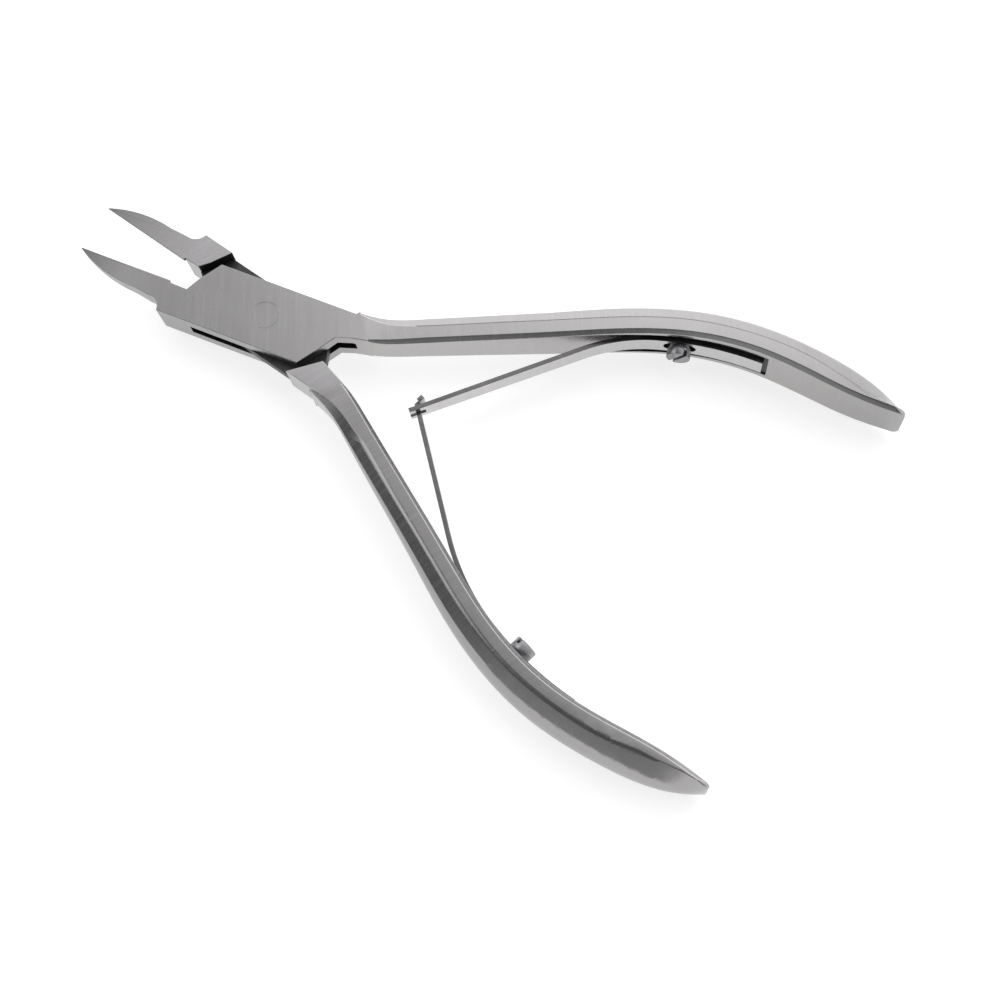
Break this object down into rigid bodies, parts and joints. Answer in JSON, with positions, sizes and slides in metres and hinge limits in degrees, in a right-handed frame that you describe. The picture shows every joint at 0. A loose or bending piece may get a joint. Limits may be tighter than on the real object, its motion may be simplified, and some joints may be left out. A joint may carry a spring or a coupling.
{
  "type": "nail nipper",
  "caption": "Box-lock nail nipper with bowed handles, straight cutting jaws and a hooked double leaf spring between the handles, shown open.",
  "frame": {"origin": "on the pivot axis, at the back face of the box", "axes": "+X from the pivot to the handle ends, +Y to the box half's handle, +Z from the box's back face to its front face"},
  "size_m": [0.1266, 0.0716, 0.01],
  "materials": {
    "forged_steel": "satin brushed",
    "spring_steel": "satin brushed",
    "screw_steel": "turned"
  },
  "bodies": {
    "box_half": {"box_half": "forged_steel", "pivot_pin": "forged_steel", "upper_spring": "spring_steel", "upper_spring_screw": "screw_steel"},
    "inner_half": {"inner_half": "forged_steel", "lower_spring": "spring_steel", "lower_spring_screw": "screw_steel"}
  },
  "joints": [
    {"name": "box_pivot", "type": "hinge", "parent": "box_half", "child": "inner_half", "pos_m": [0, 0, 0], "axis": [0, 0, 1], "range_deg": [0, 13.6], "stiffness_Nm_per_rad": 2.4, "deforming": ["upper_spring", "lower_spring"]}
  ]
}
